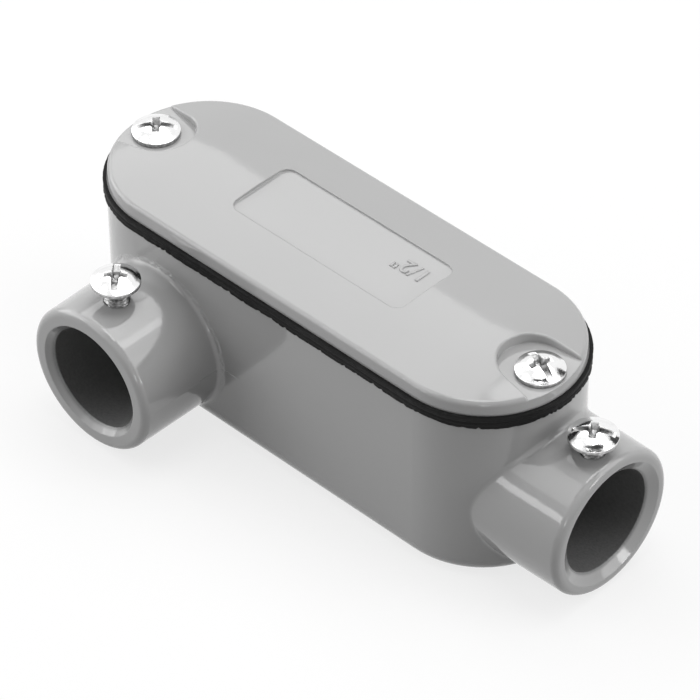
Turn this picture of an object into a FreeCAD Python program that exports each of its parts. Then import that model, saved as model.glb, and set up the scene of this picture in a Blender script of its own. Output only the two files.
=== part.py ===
import FreeCAD, Part
import math
import operator
import os
from types import SimpleNamespace

import Sketcher
from FreeCAD import Placement, Rotation, Vector

# Set-screw conduit body, LR pattern, for half inch thin-wall electrical tube
#
# Frame: millimetres, +Z up out of the open side of the box. The origin is the middle of the flat back,
# +X points out of the end hub, and the side hub points along -Y.

SIZES = {
    # Box of the casting: flat sides joined by two round ends
    "box_half_span": 30.8,
    "box_radius": 16.45,
    "box_height": 32.0,
    "back_edge_round": 3.2,
    "wall_thickness": 2.4,
    "floor_thickness": 2.4,
    "floor_corner_round": 1.5,
    # Hubs, both on one height above the back so that the tubes line up
    "hub_radius": 13.1,
    "hub_back_clearance": 0.5,
    "hub_taper": 0.012,
    "end_hub_embed": 9.0,
    "side_hub_embed": 6.0,
    "hub_mouth_round": 1.3,
    "end_root_round": 0.8,
    "side_root_round": 1.1,
    "end_hub_length": 10.95,
    "side_hub_length": 16.8,
    "side_hub_inset": 5.6,
    # Tube sockets inside the hubs
    "tube_radius": 8.965,
    "tube_clearance": 0.235,
    "socket_depth": 16.5,
    "throat_radius": 7.9,
    "stop_ring_thickness": 2.5,
    "sleeve_wall": 2.3,
    "lead_depth": 1.3,
    "end_lead_width": 1.9,
    "side_lead_width": 1.1,
    # Fasteners: number 8 thread, plain here
    "screw_radius": 2.08,
    "thread_clearance": 0.05,
    "tip_chamfer": 0.5,
    "head_radius": 4.1,
    "head_side_height": 0.6,
    "head_rise": 1.45,
    "slot_width": 1.0,
    "slot_depth": 1.0,
    "cross_span": 4.3,
    "cross_width": 1.1,
    "cross_depth": 1.7,
    # Set screws
    "set_screw_length": 6.35,
    "end_screw_inset": 4.5,
    "end_screw_standoff": 2.5,
    "side_screw_inset": 7.1,
    "side_screw_standoff": 3.55,
    "end_slot_angle": 33.1,
    "side_slot_angle": 130.9,
    # Cover screws and their bosses
    "cover_screw_inset": 4.75,
    "cover_screw_length": 9.5,
    "boss_radius": 4.2,
    "boss_length": 7.4,
    "hole_spare_depth": 0.6,
    "left_slot_angle": 44.0,
    "right_slot_angle": 160.0,
    # Gasket
    "gasket_thickness": 2.27,
    "gasket_overhang": 0.6,
    "gasket_land": 3.4,
    "gasket_end_land": 9.4,
    "gasket_corner_round": 2.0,
    "screw_hole_clearance": 0.35,
    # Cover
    "cover_inset": 0.05,
    "cover_side_lean": 0.3,
    "cover_side_height": 2.33,
    "cover_crown_rise": 1.68,
    "cover_edge_round": 0.9,
    "cover_hollow_depth": 1.5,
    "cover_hollow_land": 3.6,
    "cover_hollow_end_land": 12.4,
    "cover_hollow_corner": 5.0,
    # Recesses for the cover screws
    "recess_floor_thickness": 1.85,
    "recess_setback": 1.45,
    "recess_side_clearance": 1.6,
    "recess_mouth_clearance": 2.35,
    "recess_lip_round": 0.3,
    # Label panel, left without any marking
    "panel_centre_x": -0.35,
    "panel_centre_y": 0.3,
    "panel_half_length": 18.75,
    "panel_half_width": 6.8,
    "panel_corner_round": 2.0,
    "panel_floor_thickness": 3.38,
}

OPERATORS = {
    "+": operator.add,
    "-": operator.sub,
    "*": operator.mul,
    "/": operator.truediv,
    "^": operator.pow,
}
QUADRANTS = ((1, 1), (-1, 1), (-1, -1), (1, -1))
RIGHT_ANGLE = 90
NEAR = 0.02
OVERCUT = 1.0
# How a sketch numbers the points of a line or arc, and its own axes and origin
START, END, CENTRE = range(1, 4)
HORIZONTAL_AXIS, VERTICAL_AXIS = -1, -2
ORIGIN_POINT = (HORIZONTAL_AXIS, START)


class Size:
    """A length that keeps its number together with the sheet formula that gives it."""

    def __init__(self, number, formula):
        self.number = number
        self.formula = formula

    def __add__(self, other):
        return combine(self, "+", other)

    def __radd__(self, other):
        return combine(other, "+", self)

    def __sub__(self, other):
        return combine(self, "-", other)

    def __rsub__(self, other):
        return combine(other, "-", self)

    def __mul__(self, other):
        return combine(self, "*", other)

    def __rmul__(self, other):
        return combine(other, "*", self)

    def __truediv__(self, other):
        return combine(self, "/", other)

    def __pow__(self, other):
        return combine(self, "^", other)

    def __neg__(self):
        return combine(-1, "*", self)


def as_size(value):
    return value if isinstance(value, Size) else Size(float(value), f"({value})")


def combine(left, sign, right):
    left = as_size(left)
    right = as_size(right)
    number = OPERATORS[sign](left.number, right.number)
    return Size(number, f"({left.formula} {sign} {right.formula})")


def numbers(*values):
    return [as_size(value).number for value in values]


doc = FreeCAD.newDocument("conduit_body")
sheet = doc.addObject("Spreadsheet::Sheet", "Sizes")
for row, (name, value) in enumerate(SIZES.items(), start=1):
    sheet.set(f"A{row}", name)
    sheet.set(f"B{row}", str(value))
    sheet.setAlias(f"B{row}", name)
doc.recompute()
size = SimpleNamespace(**{name: Size(value, f"Sizes.{name}") for name, value in SIZES.items()})

# Sizes that follow from the sheet and that several pieces share
box_end = size.box_half_span + size.box_radius
cavity_radius = size.box_radius - size.wall_thickness
hub_axis_height = size.hub_radius + size.hub_back_clearance
hub_top = hub_axis_height + size.hub_radius
end_hub_face = box_end + size.end_hub_length
side_hub_face = size.box_radius + size.side_hub_length
side_hub_place = size.box_half_span - size.side_hub_inset
socket_radius = size.tube_radius + size.tube_clearance
cover_base = size.box_height + size.gasket_thickness
cover_radius = size.box_radius - size.cover_inset
cover_rim_radius = cover_radius - size.cover_side_lean
cover_rim = cover_base + size.cover_side_height
screw_seat = cover_base + size.recess_floor_thickness
cover_screw_place = box_end - size.cover_screw_inset
cover_screw_hole_depth = (
    size.cover_screw_length - size.recess_floor_thickness - size.gasket_thickness + size.hole_spare_depth
)
tapped_radius = size.screw_radius + size.thread_clearance
passing_radius = size.screw_radius + size.screw_hole_clearance
end_screw_place = end_hub_face - size.end_screw_inset
side_screw_place = side_hub_face - size.side_screw_inset


def bind(item, name, value):
    """Ties a property to the sheet."""
    item.setExpression(name, as_size(value).formula)


def new_body(label):
    """Starts one piece of the assembly."""
    body = doc.addObject("PartDesign::Body", label)
    body.Label = label
    return body


def new_sketch(body, name, plane, lift=0, shift=(0, 0)):
    """Starts a sketch on one of the piece's own planes, lifted along its normal and shifted in it."""
    sketch = body.newObject("Sketcher::SketchObject", name)
    support = [item for item in body.Origin.OriginFeatures if item.Role == plane][0]
    sketch.AttachmentSupport = (support, [""])
    sketch.MapMode = "FlatFace"
    bind(sketch, "AttachmentOffset.Base.x", shift[0])
    bind(sketch, "AttachmentOffset.Base.y", shift[1])
    bind(sketch, "AttachmentOffset.Base.z", lift)
    return sketch


def drive(sketch, kind, places, value):
    """Adds a dimension to a sketch and ties it to the sheet."""
    value = as_size(value)
    index = sketch.addConstraint(Sketcher.Constraint(kind, *places, value.number))
    sketch.setExpression(f"Constraints[{index}]", value.formula)


def relate(sketch, kind, *places):
    sketch.addConstraint(Sketcher.Constraint(kind, *places))


def place_point(sketch, item, vertex, x, y):
    """Fixes a vertex by its two coordinates. A plain zero puts it on the axis."""
    if isinstance(x, Size):
        drive(sketch, "DistanceX", (*ORIGIN_POINT, item, vertex), x)
    else:
        relate(sketch, "PointOnObject", item, vertex, VERTICAL_AXIS)
    if isinstance(y, Size):
        drive(sketch, "DistanceY", (*ORIGIN_POINT, item, vertex), y)
    else:
        relate(sketch, "PointOnObject", item, vertex, HORIZONTAL_AXIS)


def add_line(sketch, start, end):
    return sketch.addGeometry(Part.LineSegment(Vector(*start, 0), Vector(*end, 0)))


def add_arc(sketch, centre, radius, start, end):
    """Adds an arc that runs anticlockwise from one angle in degrees to another."""
    circle = Part.Circle(Vector(*centre, 0), Vector(0, 0, 1), radius)
    return sketch.addGeometry(Part.ArcOfCircle(circle, math.radians(start), math.radians(end)))


def add_circle(sketch, x, y, radius):
    centre = numbers(x, y)
    item = sketch.addGeometry(Part.Circle(Vector(*centre, 0), Vector(0, 0, 1), radius.number))
    place_point(sketch, item, CENTRE, x, y)
    drive(sketch, "Radius", (item,), radius)


def add_polygon(sketch, corners):
    """Draws a closed outline of straight lines."""
    places = [numbers(*corner) for corner in corners]
    lines = [add_line(sketch, a, b) for a, b in zip(places, places[1:] + places[:1])]
    for line, following in zip(lines, lines[1:] + lines[:1]):
        relate(sketch, "Coincident", line, END, following, START)
    for line, corner in zip(lines, corners):
        place_point(sketch, line, START, *corner)


def add_stadium(sketch, half_span, radius):
    """Draws two round ends of one radius joined by straight sides."""
    span, round_radius = numbers(half_span, radius)
    right = add_arc(sketch, (span, 0), round_radius, -RIGHT_ANGLE, RIGHT_ANGLE)
    top = add_line(sketch, (span, round_radius), (-span, round_radius))
    left = add_arc(sketch, (-span, 0), round_radius, RIGHT_ANGLE, 3 * RIGHT_ANGLE)
    bottom = add_line(sketch, (-span, -round_radius), (span, -round_radius))
    loop = (right, top, left, bottom)
    for item, following in zip(loop, loop[1:] + loop[:1]):
        relate(sketch, "Tangent", item, END, following, START)
    place_point(sketch, right, CENTRE, half_span, 0)
    place_point(sketch, left, CENTRE, -half_span, 0)
    drive(sketch, "Radius", (right,), radius)
    drive(sketch, "Radius", (left,), radius)


def add_rounded_rectangle(sketch, x, y, half_length, half_width, corner):
    """Draws a rectangle about (x, y) whose corners are arcs."""
    inner_length = half_length - corner
    inner_width = half_width - corner
    centres = [(x + way_x * inner_length, y + way_y * inner_width) for way_x, way_y in QUADRANTS]
    places = [numbers(*centre) for centre in centres]
    radius = corner.number
    loop = []
    for turn, (here, there) in enumerate(zip(places, places[1:] + places[:1])):
        start = RIGHT_ANGLE * turn
        end = start + RIGHT_ANGLE
        loop.append(add_arc(sketch, here, radius, start, end))
        reach_x = radius * math.cos(math.radians(end))
        reach_y = radius * math.sin(math.radians(end))
        leaving = (here[0] + reach_x, here[1] + reach_y)
        arriving = (there[0] + reach_x, there[1] + reach_y)
        loop.append(add_line(sketch, leaving, arriving))
    for item, following in zip(loop, loop[1:] + loop[:1]):
        relate(sketch, "Tangent", item, END, following, START)
    for arc, centre in zip(loop[::2], centres):
        place_point(sketch, arc, CENTRE, *centre)
        drive(sketch, "Radius", (arc,), corner)


def add_crowned_half(sketch, corners, rise):
    """Draws a half section: straight from corner to corner, then a crown arc to the axis and back down."""
    places = [numbers(*corner) for corner in corners]
    rim, rim_height = corners[-1]
    radius = (rim ** 2 + rise ** 2) / (2 * rise)
    apex = (0, rim_height.number + rise.number)
    centre = (0, apex[1] - radius.number)
    lines = [add_line(sketch, a, b) for a, b in zip(places, places[1:])]
    rim_angle = math.degrees(math.atan2(places[-1][1] - centre[1], places[-1][0]))
    crown = add_arc(sketch, centre, radius.number, rim_angle, RIGHT_ANGLE)
    closing = add_line(sketch, apex, places[0])
    loop = (*lines, crown, closing)
    for item, following in zip(loop, loop[1:] + loop[:1]):
        relate(sketch, "Coincident", item, END, following, START)
    for line, corner in zip(lines, corners):
        place_point(sketch, line, START, *corner)
    place_point(sketch, lines[-1], END, *corners[-1])
    relate(sketch, "PointOnObject", crown, END, VERTICAL_AXIS)
    relate(sketch, "PointOnObject", crown, CENTRE, VERTICAL_AXIS)
    drive(sketch, "Radius", (crown,), radius)


def extrude(body, kind, name, sketch, length, reverse=False):
    """Pads or pockets a sketch by a length. A pad goes up its normal and a pocket down it."""
    feature = body.newObject(kind, name)
    feature.Profile = sketch
    feature.Reversed = reverse
    bind(feature, "Length", length)
    sketch.Visibility = False
    return feature


def turn(body, kind, name, sketch, axis, angle=360, reverse=False):
    """Revolves a sketch, or grooves with it, about one of its own axes."""
    feature = body.newObject(kind, name)
    feature.Profile = sketch
    feature.ReferenceAxis = (sketch, [axis])
    feature.Angle = angle
    feature.Reversed = reverse
    sketch.Visibility = False
    return feature


def mirror(body, name, features, plane):
    """Repeats features on the other side of one of the piece's planes."""
    support = [item for item in body.Origin.OriginFeatures if item.Role == plane][0]
    feature = body.newObject("PartDesign::Mirrored", name)
    feature.Originals = features
    feature.MirrorPlane = (support, [""])
    body.Tip = feature
    return feature


def sample_points(edge):
    """Gives five points along an edge."""
    first, last = edge.ParameterRange
    return [edge.valueAt(first + (last - first) * step / 4) for step in range(5)]


def round_edges(body, name, radius, chosen):
    """Rounds the edges whose sample points all pass a test."""
    doc.recompute()
    base = body.Tip
    edges = base.Shape.Edges
    names = [f"Edge{i}" for i, edge in enumerate(edges, start=1) if all(map(chosen, sample_points(edge)))]
    if not names:
        raise RuntimeError(f"{name} finds no edge to round")
    feature = body.newObject("PartDesign::Fillet", name)
    feature.Base = (base, names)
    bind(feature, "Radius", radius)
    return feature


def stadium_distance(point, half_span):
    """Measures how far a point lies from the line between the centres of the two round ends."""
    beyond = max(abs(point.x) - half_span.number, 0)
    return math.hypot(beyond, point.y)


def near(value, target):
    return abs(value - as_size(target).number) < NEAR


def hub_section(reach, inner):
    """Lists the corners of a hub's half section from its face inwards. Reach is the face's distance."""
    way = 1 if reach.number > 0 else -1
    length = way * reach - inner
    return (
        (reach, 0),
        (reach, size.hub_radius),
        (way * inner, size.hub_radius + size.hub_taper * length),
        (way * inner, 0),
    )


def crosswise(corners):
    """Swaps the two coordinates, for a section whose axis runs along Y."""
    return [(y, x) for x, y in corners]


def socket_section(reach, lead_width, inner):
    """Lists the corners of a socket's half section: lead-in, bore, stop ring and throat."""
    way = 1 if reach.number > 0 else -1
    stop = reach - way * size.socket_depth
    return (
        (reach + way * OVERCUT, 0),
        (reach + way * OVERCUT, socket_radius + lead_width),
        (reach, socket_radius + lead_width),
        (reach - way * size.lead_depth, socket_radius),
        (stop, socket_radius),
        (stop, size.throat_radius),
        (way * inner, size.throat_radius),
        (way * inner, 0),
    )


def make_conduit_body():
    """Builds the casting: box, two hubs, tube sockets, stop rings and screw bosses."""
    body = new_body("conduit_body")

    outline = new_sketch(body, "box_outline", "XY_Plane")
    add_stadium(outline, size.box_half_span, size.box_radius)
    extrude(body, "PartDesign::Pad", "box", outline, size.box_height)
    round_edges(body, "back_edges", size.back_edge_round, lambda point: near(point.z, 0))

    side_shift = (-side_hub_place, 0)
    side = new_sketch(body, "side_hub_section", "XY_Plane", hub_axis_height, side_shift)
    add_polygon(side, crosswise(hub_section(-side_hub_face, size.box_radius - size.side_hub_embed)))
    turn(body, "PartDesign::Revolution", "side_hub", side, "V_Axis")
    end = new_sketch(body, "end_hub_section", "XY_Plane", hub_axis_height)
    add_polygon(end, hub_section(end_hub_face, box_end - size.end_hub_embed))
    turn(body, "PartDesign::Revolution", "end_hub", end, "H_Axis")

    def around_end_hub(point):
        return math.hypot(point.y, point.z - hub_axis_height.number)

    def around_side_hub(point):
        return math.hypot(point.x + side_hub_place.number, point.z - hub_axis_height.number)

    def on_end_root(point):
        radius = size.hub_radius + size.hub_taper * (end_hub_face - point.x)
        inside = stadium_distance(point, size.box_half_span) < size.box_radius.number + NEAR
        return inside and near(around_end_hub(point), radius) and point.x > 0

    def on_side_root(point):
        radius = size.hub_radius + size.hub_taper * (side_hub_face + point.y)
        inside = point.y > -size.box_radius.number - NEAR
        return inside and near(around_side_hub(point), radius) and point.y < 0

    def on_mouth(point):
        end_mouth = near(point.x, end_hub_face) and near(around_end_hub(point), size.hub_radius)
        side_mouth = near(point.y, -side_hub_face) and near(around_side_hub(point), size.hub_radius)
        return end_mouth or side_mouth

    round_edges(body, "end_root", size.end_root_round, on_end_root)
    round_edges(body, "side_root", size.side_root_round, on_side_root)
    round_edges(body, "mouth_edges", size.hub_mouth_round, on_mouth)

    cavity = new_sketch(body, "cavity_outline", "XY_Plane", size.box_height)
    add_stadium(cavity, size.box_half_span, cavity_radius)
    extrude(body, "PartDesign::Pocket", "cavity", cavity, size.box_height - size.floor_thickness)
    round_edges(
        body,
        "floor_corners",
        size.floor_corner_round,
        lambda point: near(point.z, size.floor_thickness),
    )

    bosses = new_sketch(body, "boss_outline", "XY_Plane", size.box_height - size.boss_length)
    add_circle(bosses, cover_screw_place, 0, size.boss_radius)
    add_circle(bosses, -cover_screw_place, 0, size.boss_radius)
    extrude(body, "PartDesign::Pad", "bosses", bosses, size.boss_length)

    sleeve_start = end_hub_face - size.socket_depth - size.stop_ring_thickness
    sleeve_radius = socket_radius + size.sleeve_wall
    sleeve = new_sketch(body, "sleeve_section", "XY_Plane", hub_axis_height)
    add_polygon(
        sleeve,
        (
            (sleeve_start, 0),
            (sleeve_start, sleeve_radius),
            (box_end - size.wall_thickness / 2, sleeve_radius),
            (box_end - size.wall_thickness / 2, 0),
        ),
    )
    turn(body, "PartDesign::Revolution", "sleeve", sleeve, "H_Axis")

    side_socket = new_sketch(body, "side_socket_section", "XY_Plane", hub_axis_height, side_shift)
    side_corners = socket_section(-side_hub_face, size.side_lead_width, cavity_radius - OVERCUT)
    add_polygon(side_socket, crosswise(side_corners))
    turn(body, "PartDesign::Groove", "side_socket", side_socket, "V_Axis")
    end_socket = new_sketch(body, "end_socket_section", "XY_Plane", hub_axis_height)
    add_polygon(end_socket, socket_section(end_hub_face, size.end_lead_width, sleeve_start - OVERCUT))
    turn(body, "PartDesign::Groove", "end_socket", end_socket, "H_Axis")

    tapped = new_sketch(body, "set_screw_holes", "XY_Plane", hub_axis_height)
    add_circle(tapped, end_screw_place, 0, tapped_radius)
    add_circle(tapped, -side_hub_place, -side_screw_place, tapped_radius)
    extrude(body, "PartDesign::Pocket", "set_screw_threads", tapped, size.hub_radius + OVERCUT, reverse=True)

    blind = new_sketch(body, "cover_screw_holes", "XY_Plane", size.box_height)
    add_circle(blind, cover_screw_place, 0, tapped_radius)
    add_circle(blind, -cover_screw_place, 0, tapped_radius)
    extrude(body, "PartDesign::Pocket", "cover_screw_threads", blind, cover_screw_hole_depth)
    return body


def make_gasket():
    """Builds the die-cut gasket: a ring with broad ends that hold the screw holes."""
    body = new_body("gasket")
    outline = new_sketch(body, "gasket_outline", "XY_Plane", size.box_height)
    outer = size.box_radius + size.gasket_overhang
    add_stadium(outline, size.box_half_span, outer)
    add_rounded_rectangle(
        outline,
        as_size(0),
        as_size(0),
        box_end - size.gasket_end_land,
        size.box_radius - size.gasket_land,
        size.gasket_corner_round,
    )
    for way in (1, -1):
        add_circle(outline, way * cover_screw_place, 0, passing_radius)
    extrude(body, "PartDesign::Pad", "sheet_rubber", outline, size.gasket_thickness)
    return body


def make_cover():
    """Builds the domed cover with its label panel, screw recesses and hollow underside."""
    body = new_body("cover")
    section = ((0, cover_base), (cover_radius, cover_base), (cover_rim_radius, cover_rim))
    span = size.box_half_span

    middle = new_sketch(body, "middle_section", "YZ_Plane", -span)
    add_crowned_half(middle, section, size.cover_crown_rise)
    middle_half = extrude(body, "PartDesign::Pad", "middle_half", middle, 2 * span)
    mirror(body, "middle_other_half", [middle_half], "XZ_Plane")
    right = new_sketch(body, "right_end_section", "YZ_Plane", span)
    add_crowned_half(right, section, size.cover_crown_rise)
    turn(body, "PartDesign::Revolution", "right_end", right, "V_Axis", 180, reverse=True)
    left = new_sketch(body, "left_end_section", "YZ_Plane", -span)
    add_crowned_half(left, section, size.cover_crown_rise)
    turn(body, "PartDesign::Revolution", "left_end", left, "V_Axis", 180)
    round_edges(
        body,
        "cover_edge",
        size.cover_edge_round,
        lambda point: near(point.z, cover_rim) and near(stadium_distance(point, span), cover_rim_radius),
    )

    hollow = new_sketch(body, "hollow_outline", "XY_Plane", cover_base)
    add_rounded_rectangle(
        hollow,
        as_size(0),
        as_size(0),
        span + cover_radius - size.cover_hollow_end_land,
        cover_radius - size.cover_hollow_land,
        size.cover_hollow_corner,
    )
    extrude(body, "PartDesign::Pocket", "hollow", hollow, size.cover_hollow_depth, reverse=True)

    panel = new_sketch(body, "panel_outline", "XY_Plane", cover_base + size.panel_floor_thickness)
    add_rounded_rectangle(
        panel,
        size.panel_centre_x,
        size.panel_centre_y,
        size.panel_half_length,
        size.panel_half_width,
        size.panel_corner_round,
    )
    panel_cut = size.cover_side_height + size.cover_crown_rise
    extrude(body, "PartDesign::Pocket", "label_panel", panel, panel_cut, reverse=True)

    recess = new_sketch(body, "recess_outline", "XY_Plane", screw_seat)
    add_recess_outline(recess)
    recess_cut = extrude(body, "PartDesign::Pocket", "right_recess", recess, panel_cut, reverse=True)
    hole = new_sketch(body, "screw_hole", "XY_Plane", cover_base)
    add_circle(hole, cover_screw_place, 0, passing_radius)
    hole_cut = extrude(body, "PartDesign::Pocket", "right_screw_hole", hole, panel_cut, reverse=True)
    mirror(body, "left_recess_and_hole", [recess_cut, hole_cut], "YZ_Plane")

    def on_recess_lip(point):
        panel_end = size.panel_half_length.number + abs(size.panel_centre_x.number)
        clear_of_panel = abs(point.x) > panel_end + NEAR
        above_seat = point.z > screw_seat.number + NEAR
        within = stadium_distance(point, span) < cover_rim_radius.number - size.cover_edge_round.number
        return clear_of_panel and above_seat and within

    round_edges(body, "recess_lips", size.recess_lip_round, on_recess_lip)
    return body


def add_recess_outline(sketch):
    """Draws the recess about the right cover screw. Its inner end is round and its walls part outwards."""
    radius = size.head_radius + size.recess_side_clearance
    centre = cover_screw_place - size.recess_setback
    mouth = cover_screw_place + size.cover_screw_inset + OVERCUT
    half_mouth = size.head_radius + size.recess_mouth_clearance
    middle, reach, outer, half = numbers(centre, radius, mouth, half_mouth)
    distance = math.hypot(outer - middle, half)
    touch = math.atan2(half, outer - middle) + math.acos(reach / distance)
    upper = (middle + reach * math.cos(touch), reach * math.sin(touch))
    lower = (upper[0], -upper[1])
    arc = add_arc(sketch, (middle, 0), reach, math.degrees(touch), 360 - math.degrees(touch))
    near_wall = add_line(sketch, lower, (outer, -half))
    closing = add_line(sketch, (outer, -half), (outer, half))
    far_wall = add_line(sketch, (outer, half), upper)
    relate(sketch, "Tangent", arc, END, near_wall, START)
    relate(sketch, "Coincident", near_wall, END, closing, START)
    relate(sketch, "Coincident", closing, END, far_wall, START)
    relate(sketch, "Tangent", far_wall, END, arc, START)
    place_point(sketch, arc, CENTRE, centre, 0)
    drive(sketch, "Radius", (arc,), radius)
    place_point(sketch, closing, START, mouth, -half_mouth)
    place_point(sketch, closing, END, mouth, half_mouth)


def make_screw(label, length, x, y, seat, slot_angle):
    """Builds a screw with a low domed head, a slot and a cross. Its own origin is under the head."""
    body = new_body(label)
    section = new_sketch(body, label + "_section", "XZ_Plane")
    add_crowned_half(
        section,
        (
            (0, -length),
            (size.screw_radius - size.tip_chamfer, -length),
            (size.screw_radius, size.tip_chamfer - length),
            (size.screw_radius, 0),
            (size.head_radius, 0),
            (size.head_radius, size.head_side_height),
        ),
        size.head_rise,
    )
    turn(body, "PartDesign::Revolution", label + "_blank", section, "V_Axis")

    top = size.head_side_height + size.head_rise
    slot = new_sketch(body, label + "_slot_outline", "XY_Plane", top)
    reach = size.head_radius + OVERCUT
    half_width = size.slot_width / 2
    add_polygon(slot, [(way_x * reach, way_y * half_width) for way_x, way_y in QUADRANTS])
    extrude(body, "PartDesign::Pocket", label + "_slot", slot, size.slot_depth)
    cross = new_sketch(body, label + "_cross_outline", "XY_Plane", top)
    add_polygon(cross, cross_corners(size.cross_span / 2, size.cross_width / 2))
    extrude(body, "PartDesign::Pocket", label + "_cross", cross, size.cross_depth)

    body.Placement = Placement(Vector(0, 0, 0), Rotation(Vector(0, 0, 1), slot_angle.number))
    for axis, place in zip("xyz", (x, y, seat)):
        bind(body, f"Placement.Base.{axis}", place)
    bind(body, "Placement.Rotation.Angle", slot_angle)
    return body


def cross_corners(arm, half_width):
    """Lists the twelve corners of a cross with equal arms."""
    corner = (half_width, half_width)
    quarter = ((arm, -half_width), (arm, half_width), corner)
    corners = []
    for _ in range(4):
        corners.extend(quarter)
        quarter = tuple((-y, x) for x, y in quarter)
    return corners


def make_screws():
    """Builds the two cover screws and the two set screws."""
    cover = [
        make_screw(label, size.cover_screw_length, way * cover_screw_place, 0, screw_seat, angle)
        for label, way, angle in (
            ("cover_screw_left", -1, size.left_slot_angle),
            ("cover_screw_right", 1, size.right_slot_angle),
        )
    ]
    side_seat = hub_top + size.side_screw_standoff
    end_seat = hub_top + size.end_screw_standoff
    setting = [
        make_screw(
            "set_screw_side",
            size.set_screw_length,
            -side_hub_place,
            -side_screw_place,
            side_seat,
            size.side_slot_angle,
        ),
        make_screw("set_screw_end", size.set_screw_length, end_screw_place, 0, end_seat, size.end_slot_angle),
    ]
    return cover + setting


def check(pieces):
    """Stops if any object failed to build or any piece isn't one sound solid."""
    doc.recompute()
    for item in doc.Objects:
        if "Invalid" in item.State or "Error" in item.State:
            raise RuntimeError(f"{item.Name} failed: {item.State}")
    for body in pieces:
        shape = body.Shape
        if shape.isNull() or not shape.isValid() or len(shape.Solids) != 1:
            raise RuntimeError(f"{body.Label} isn't one sound solid")
        box = shape.BoundBox
        print(
            f"{body.Label}: volume {shape.Volume:.1f}, x {box.XMin:.2f} to {box.XMax:.2f},"
            f" y {box.YMin:.2f} to {box.YMax:.2f}, z {box.ZMin:.2f} to {box.ZMax:.2f}"
        )


pieces = [make_conduit_body(), make_gasket(), make_cover(), *make_screws()]
check(pieces)
os.makedirs("parts", exist_ok=True)
for body in pieces:
    body.Shape.exportStep(f"parts/{body.Label}.step")
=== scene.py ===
import math
import random

import bmesh
import bpy
from mathutils import Matrix, Quaternion, Vector, noise
from mathutils.geometry import tessellate_polygon


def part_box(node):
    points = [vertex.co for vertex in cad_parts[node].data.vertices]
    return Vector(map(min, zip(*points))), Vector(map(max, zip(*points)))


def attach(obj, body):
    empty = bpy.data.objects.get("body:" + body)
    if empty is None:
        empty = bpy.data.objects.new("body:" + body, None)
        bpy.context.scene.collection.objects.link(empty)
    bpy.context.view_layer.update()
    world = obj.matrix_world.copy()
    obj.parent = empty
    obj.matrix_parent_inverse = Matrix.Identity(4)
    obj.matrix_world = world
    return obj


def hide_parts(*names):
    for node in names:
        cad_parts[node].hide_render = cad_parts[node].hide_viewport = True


bl_info = {
    "name": "Conduit Body",
    "version": (1, 0, 0),
    "blender": (4, 5, 0),
    "location": "3D View > Sidebar > Conduit Body",
    "description": "Enamel, rubber, screws and a small studio for a cast conduit body",
    "category": "Object",
}

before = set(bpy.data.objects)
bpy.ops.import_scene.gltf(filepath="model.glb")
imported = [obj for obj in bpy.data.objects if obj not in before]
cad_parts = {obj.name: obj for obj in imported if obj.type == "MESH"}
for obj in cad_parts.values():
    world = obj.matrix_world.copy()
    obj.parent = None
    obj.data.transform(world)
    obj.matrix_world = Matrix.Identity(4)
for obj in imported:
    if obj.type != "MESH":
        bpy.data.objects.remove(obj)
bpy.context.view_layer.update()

# Lengths are in metres, in the frame of the casting: its flat back lies on the floor at zero height,
# the end hub points along +X and the side hub along -Y.
MM = 0.001
ENAMEL = "grey_enamel"
RUBBER = "black_rubber"
ZINC = "zinc_plate"


def node_centre(name):
    low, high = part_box(name)
    return (low + high) / 2


# Shader expressions


class Signal:
    """One output of a shader node. Arithmetic on it adds the Math nodes that it needs."""

    def __init__(self, tree, socket):
        self.tree = tree
        self.socket = socket

    def __add__(self, other):
        return self.tree.math("ADD", self, other)

    __radd__ = __add__

    def __sub__(self, other):
        return self.tree.math("SUBTRACT", self, other)

    def __rsub__(self, other):
        return self.tree.math("SUBTRACT", other, self)

    def __mul__(self, other):
        return self.tree.math("MULTIPLY", self, other)

    __rmul__ = __mul__

    def __truediv__(self, other):
        return self.tree.math("DIVIDE", self, other)

    def __pow__(self, other):
        return self.tree.math("POWER", self, other)

    def __lt__(self, other):
        return self.tree.math("LESS_THAN", self, other)

    def __gt__(self, other):
        return self.tree.math("GREATER_THAN", self, other)


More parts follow.
